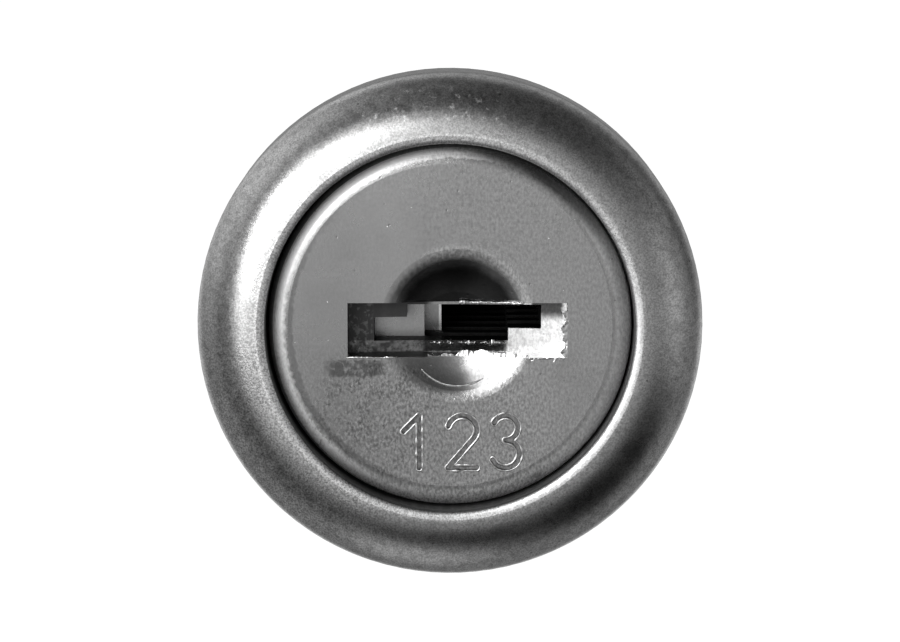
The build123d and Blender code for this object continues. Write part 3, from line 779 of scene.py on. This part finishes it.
cameraElevation = 7.3
stage = {
    "floorDrop": 32, "floorSize": 3000, "floorTone": 0.9, "floorGlow": 0.14,
    "tentHalfWidth": 150, "tentTop": 150, "tentGap": 0.5,
    "mirrorElevation": -cameraElevation,        # of what the flat face shows to the camera
    # grey of the tent by the angle off that direction
    "tones": [(0, 0.50), (12, 0.47), (22, 0.25), (32, 0.11), (42, 0.07), (55, 0.15), (68, 0.22),
              (108, 0.20), (128, 0.60), (146, 0.64), (158, 0.28), (172, 0.22)],
    # patches on it: hour on the lock's face, angle off, radius, softness, grey
    "patches": {
        "rightNear": (3, 22, 12, 10, 0.28),
        "right": (3, 48, 17, 12, 0.52),
        "lowRight": (4.45, 43, 21, 13, 0.0),
        "low": (6, 31, 13, 8, 0.0),
        "lowFar": (6.3, 64, 13, 9, 0.5),
        "topRight": (0.8, 68, 31, 11, 0.05),
        "left": (7.7, 36, 12, 10, 0.06),
        "topLeft": (10.0, 92, 27, 17, 0.72),
        "halo": (10.5, 32, 15, 8, 0.95),
        "haloLeft": (9.2, 26.5, 8, 6, 1.0),
    },
    # soft round lamps: hour, angle off, radius in degrees, distance in mm, radiance
    "lamps": {
        "keyLamp": (10.35, 29, 13.5, 120, 4.6),
    },
}


def aim(hour, angleOff):
    # direction at an angle off the mirror direction, towards an hour on the lock's face
    e = math.radians(stage["mirrorElevation"])
    around = math.radians(30 * hour)
    off = math.radians(angleOff)
    ahead = Vector((0, -math.cos(e), math.sin(e)))
    up = Vector((0, math.sin(e), math.cos(e)))
    sideways = Vector((1, 0, 0)) * math.sin(around) + up * math.cos(around)
    return ahead * math.cos(off) + sideways * math.sin(off)


def tentPaper():
    material = bpy.data.materials.new("tentPaper")
    material.use_nodes = True
    tree = material.node_tree
    tree.nodes.clear()
    look = addNode(tree, "VectorMath", {0: addNode(tree, "TexCoord", {}).outputs["Object"]},
                   operation="NORMALIZE").outputs["Vector"]

    def angleTo(towards):
        dot = addNode(tree, "VectorMath", {0: look, 1: towards}, operation="DOT_PRODUCT")
        return addNode(tree, "Math", {0: dot.outputs["Value"]},
                       operation="ARCCOSINE").outputs["Value"]

    share = combine(tree, "DIVIDE", angleTo(aim(0, 0)), math.pi)
    ramp = addNode(tree, "ValToRGB", {"Fac": share})
    stops = ramp.color_ramp.elements
    while len(stops) < len(stage["tones"]):
        stops.new(1)
    for stop, (angle, tone) in zip(stops, stage["tones"]):
        stop.position = angle / 180
        stop.color = grey(tone)
    level = ramp.outputs["Color"]
    for hour, angleOff, radius, softness, tone in stage["patches"].values():
        mask = ease(tree, angleTo(aim(hour, angleOff)), math.radians(radius + softness),
                    math.radians(radius - softness))
        level = mixTone(tree, mask, level, grey(tone))
    glow = addNode(tree, "Emission", {"Color": level, "Strength": 1})
    addNode(tree, "OutputMaterial", {"Surface": glow.outputs["Emission"]})
    return material


deselectAll()
tentBottom = stage["tentGap"] - stage["floorDrop"]
bpy.ops.mesh.primitive_cube_add(
    size=mm, location=(0, 0, (stage["tentTop"] + tentBottom) / 2 * mm))
tent = bpy.context.object
tent.name = "tent"
tentWidth = 2 * stage["tentHalfWidth"]
tent.scale = (tentWidth, tentWidth, stage["tentTop"] - tentBottom)
bpy.ops.object.transform_apply(location=True, rotation=True, scale=True)
tent.visible_camera = False
tent.visible_diffuse = False
tent.visible_shadow = False
tent.visible_transmission = False
tent.data.materials.append(tentPaper())

for name, (hour, angleOff, radius, distance, radiance) in stage["lamps"].items():
    towards = aim(hour, angleOff)
    lamp = bpy.data.lights.new(name, "AREA")
    lamp.shape = "DISK"
    lamp.size = 2 * distance * mm * math.tan(math.radians(radius))
    lamp.energy = radiance * math.pi * math.pi * (lamp.size / 2) ** 2
    lampObject = bpy.data.objects.new(name, lamp)
    lampObject.location = towards * distance * mm
    lampObject.rotation_euler = towards.to_track_quat("Z", "Y").to_euler()
    lampObject.visible_camera = False
    bpy.context.scene.collection.objects.link(lampObject)

deselectAll()
bpy.ops.mesh.primitive_plane_add(
    size=stage["floorSize"] * mm, location=(0, 0, -stage["floorDrop"] * mm))
floor = bpy.context.object
floor.name = "floor"
floorMaterial = bpy.data.materials.new("paleFloor")
floorMaterial.use_nodes = True
tree = floorMaterial.node_tree
# a little glow, for the camera and reflections only, lifts the floor to white
rays = addNode(tree, "LightPath", {}).outputs
seen = combine(tree, "MAXIMUM", rays["Is Camera Ray"], rays["Is Glossy Ray"])
seen = combine(tree, "MAXIMUM", seen, rays["Is Transmission Ray"])
glowLevel = combine(tree, "MULTIPLY", seen, stage["floorGlow"])
paper = tree.nodes["Principled BSDF"]
paper.inputs["Base Color"].default_value = grey(stage["floorTone"])
paper.inputs["Roughness"].default_value = 1
paper.inputs["Emission Color"].default_value = grey(1)
tree.links.new(glowLevel, paper.inputs["Emission Strength"])
floor.data.materials.append(floorMaterial)

world = bpy.data.worlds.new("whiteRoom")
bpy.context.scene.world = world
world.use_nodes = True
sky = world.node_tree.nodes["Background"]
sky.inputs["Color"].default_value = grey(1)
sky.inputs["Strength"].default_value = 1

# camera
camera = {
    "distance": 152.4, "pixel": 0.0434, "frameWidth": 900, "facePixelsBelowMiddle": 5,
    "sensor": 36, "clipStart": 0.01, "clipEnd": 20}
view = bpy.data.cameras.new("camera")
view.sensor_width = camera["sensor"]
view.lens = view.sensor_width * camera["distance"] / (camera["frameWidth"] * camera["pixel"])
view.clip_start = camera["clipStart"]
view.clip_end = camera["clipEnd"]
viewObject = bpy.data.objects.new("camera", view)
# the plug's face lies a few pixels below the picture's middle
rise = camera["facePixelsBelowMiddle"] * camera["pixel"]
rise /= math.cos(math.radians(cameraElevation))
target = Vector((0, face, rise)) * mm
towards = direction(0, cameraElevation)
viewObject.location = target + towards * camera["distance"] * mm
viewObject.rotation_euler = towards.to_track_quat("Z", "Y").to_euler()
bpy.context.scene.collection.objects.link(viewObject)
bpy.context.scene.camera = viewObject
bpy.context.scene.view_settings.view_transform = "Standard"
print("stage and camera set")

bpy.context.view_layer.update()
